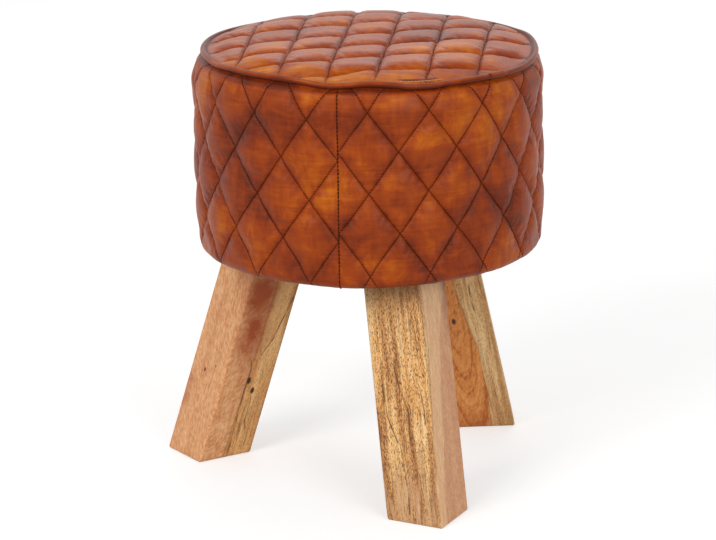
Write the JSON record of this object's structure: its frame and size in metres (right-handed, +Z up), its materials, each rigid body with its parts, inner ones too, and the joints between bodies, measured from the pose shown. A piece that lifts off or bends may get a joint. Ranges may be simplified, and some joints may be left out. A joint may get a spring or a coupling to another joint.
{
  "type": "leather stool",
  "caption": "Low round stool with a diamond-quilted brown leather drum seat, a piped top edge and splayed square wooden legs.",
  "frame": {"origin": "on the floor, straight under the middle of the seat, midway between the three feet", "axes": "+Z up; -Y towards the front, with the front seam a little left of it; +X to the right"},
  "size_m": [0.3864, 0.382, 0.446],
  "materials": {
    "quilted_leather": "satin",
    "welt_leather": "satin",
    "cord": "matte",
    "foam": "matte",
    "hoop_board": "matte",
    "plywood": "matte",
    "softwood": "matte",
    "zinc_steel": "satin",
    "staple_steel": "satin",
    "dust_cloth": "matte",
    "leg_wood": "satin"
  },
  "bodies": {
    "root": {"top_panel": "quilted_leather", "side_panel_left": "quilted_leather", "side_panel_right": "quilted_leather", "piping_cover": "welt_leather", "piping_cord": "cord", "top_foam": "foam", "side_foam": "foam", "drum_hoop": "hoop_board", "top_board": "plywood", "base_board": "plywood", "drum_posts": "softwood", "post_screws": "zinc_steel", "leg_screws": "zinc_steel", "leg_washers": "zinc_steel", "hem_staples": "staple_steel", "dust_cover_staples": "staple_steel", "dust_cover": "dust_cloth", "leg_left": "leg_wood", "leg_front": "leg_wood", "leg_back": "leg_wood"}
  },
  "joints": []
}
